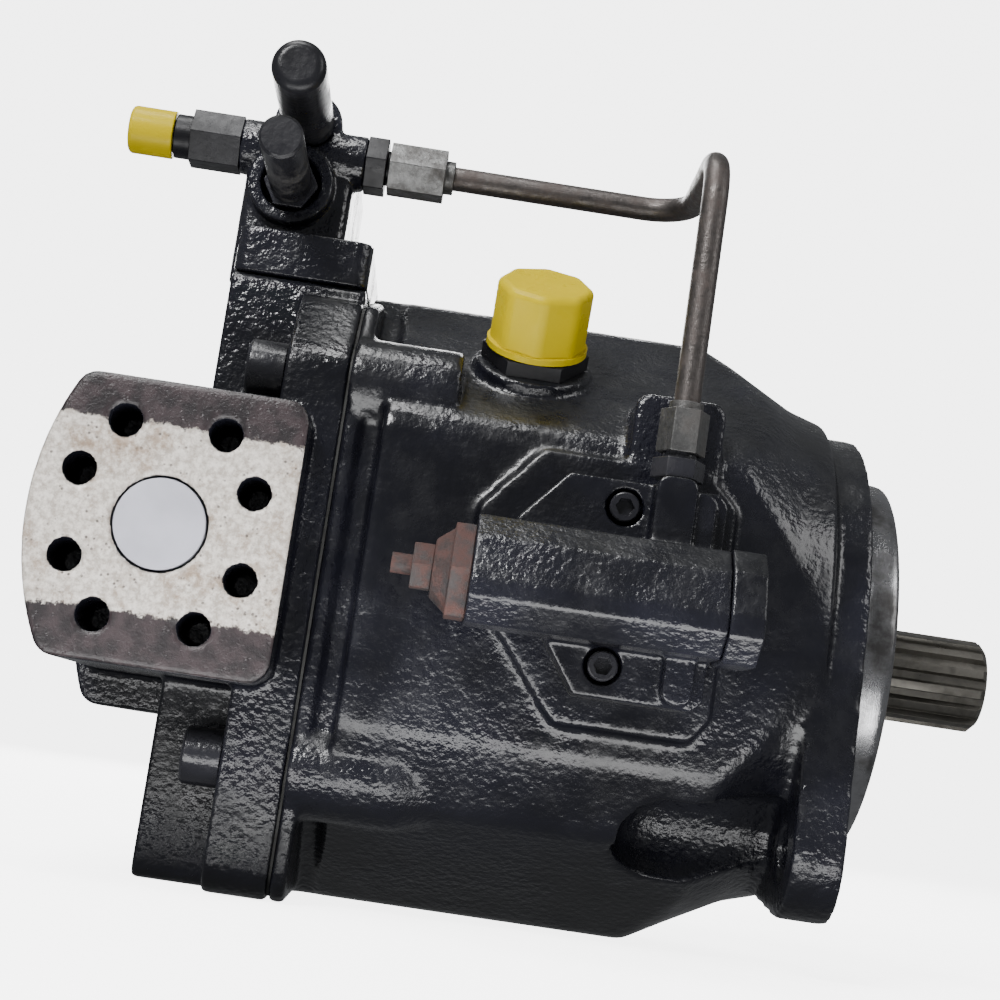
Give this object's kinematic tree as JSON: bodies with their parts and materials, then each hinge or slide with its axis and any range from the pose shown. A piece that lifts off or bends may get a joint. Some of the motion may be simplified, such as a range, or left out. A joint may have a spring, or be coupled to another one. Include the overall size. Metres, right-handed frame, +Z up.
{
  "type": "axial piston pump",
  "caption": "Variable axial piston pump with a splined shaft, two-bolt pilot flange, side ports, top compensator valve and a side power controller fed by a steel pipe.",
  "frame": {"origin": "centre of the pilot where it meets the mounting flange face, on the drive shaft axis", "axes": "+X out along the drive shaft, -Y towards the pressure port and power controller, +Z up"},
  "size_m": [0.314, 0.221, 0.264],
  "materials": {
    "black_paint": "gloss black paint over rough cast iron, worn and dusty",
    "port_face_iron": "bare machined iron with paint edges and brown stains",
    "machined_steel": "machined",
    "oiled_steel": "oily dark steel",
    "zinc": "dull zinc plate",
    "pipe_steel": "brown grey steel tube",
    "black_bolt": "painted over black oxide",
    "rusty_steel": "surface rust",
    "yellow_plastic": "soft moulded plastic",
    "grey_plastic": "moulded plastic",
    "bronze": "machined bronze",
    "spring_steel": "oil tempered",
    "seal_rubber": "matt",
    "gasket_paper": "coated sheet"
  },
  "bodies": {
    "root": {"housing": "black_paint", "port_plate": "black_paint", "case_gasket": "gasket_paper", "case_bolts": "black_bolt", "valve_plate": "bronze", "pressure_port_plug": "grey_plastic", "front_bearing_outer_ring": "machined_steel", "rear_bearing_outer_ring": "machined_steel", "shaft_seal": "seal_rubber", "seal_snap_ring": "spring_steel", "swashplate": "machined_steel", "cradle_bearing_shells": "bronze", "stroking_piston": "machined_steel", "bias_piston": "machined_steel", "bias_spring": "spring_steel", "feedback_lever": "machined_steel", "compensator_body": "black_paint", "compensator_bolts": "black_bolt", "compensator_plugs": "black_bolt", "flow_spring": "spring_steel", "pressure_spring": "spring_steel", "flow_adjusting_screw": "machined_steel", "flow_lock_nut": "black_bolt", "flow_adjuster_cap": "black_paint", "pressure_adjusting_screw": "machined_steel", "pressure_adjuster_cap": "black_paint", "test_port_adapter": "black_paint", "test_port_cap": "yellow_plastic", "pipe_connector": "black_paint", "upper_pipe_nut": "zinc", "control_pipe": "pipe_steel", "lower_pipe_nut": "zinc", "control_connector": "black_bolt", "controller_body": "black_paint", "controller_gasket": "gasket_paper", "controller_bolts": "black_bolt", "control_spring": "spring_steel", "controller_end_cover": "black_paint", "controller_adjuster_plug": "rusty_steel", "controller_lock_nut": "rusty_steel", "controller_adjusting_screw": "rusty_steel", "drain_adapter": "black_bolt", "drain_cap": "yellow_plastic", "lower_drain_plug": "black_bolt"},
    "rotating_group": {"drive_shaft": "oiled_steel", "cylinder_block": "machined_steel", "block_spring": "spring_steel", "pistons": "machined_steel", "slippers": "bronze", "retaining_plate": "machined_steel", "retaining_ball": "machined_steel", "front_bearing_inner_ring": "machined_steel", "rear_bearing_inner_ring": "machined_steel"},
    "front_roller_set": {"front_bearing_rollers": "machined_steel", "front_bearing_cage": "oiled_steel"},
    "rear_roller_set": {"rear_bearing_rollers": "machined_steel", "rear_bearing_cage": "oiled_steel"},
    "flow_spool_body": {"flow_spool": "machined_steel"},
    "pressure_spool_body": {"pressure_spool": "machined_steel"},
    "control_spool_body": {"control_spool": "machined_steel"}
  },
  "joints": [
    {"name": "shaft_turn", "type": "hinge", "parent": "root", "child": "rotating_group", "pos_m": [0, 0, 0], "axis": [1, 0, 0], "continuous": true},
    {"name": "front_rollers_turn", "type": "hinge", "parent": "root", "child": "front_roller_set", "pos_m": [0, 0, 0], "axis": [1, 0, 0], "continuous": true},
    {"name": "rear_rollers_turn", "type": "hinge", "parent": "root", "child": "rear_roller_set", "pos_m": [0, 0, 0], "axis": [1, 0, 0], "continuous": true},
    {"name": "flow_spool_slide", "type": "slide", "parent": "root", "child": "flow_spool_body", "axis": [0, 1, 0], "range_m": [-0.003, 0.003], "deforming": ["flow_spring"]},
    {"name": "pressure_spool_slide", "type": "slide", "parent": "root", "child": "pressure_spool_body", "axis": [0, 1, 0], "range_m": [-0.003, 0.003], "deforming": ["pressure_spring"]},
    {"name": "control_spool_slide", "type": "slide", "parent": "root", "child": "control_spool_body", "axis": [1, 0, 0], "range_m": [-0.002, 0.002], "deforming": ["control_spring"]}
  ],
  "couplings": [
    {"joint": "front_rollers_turn", "follows": "shaft_turn", "ratio": 0.4336},
    {"joint": "rear_rollers_turn", "follows": "shaft_turn", "ratio": 0.4301}
  ]
}
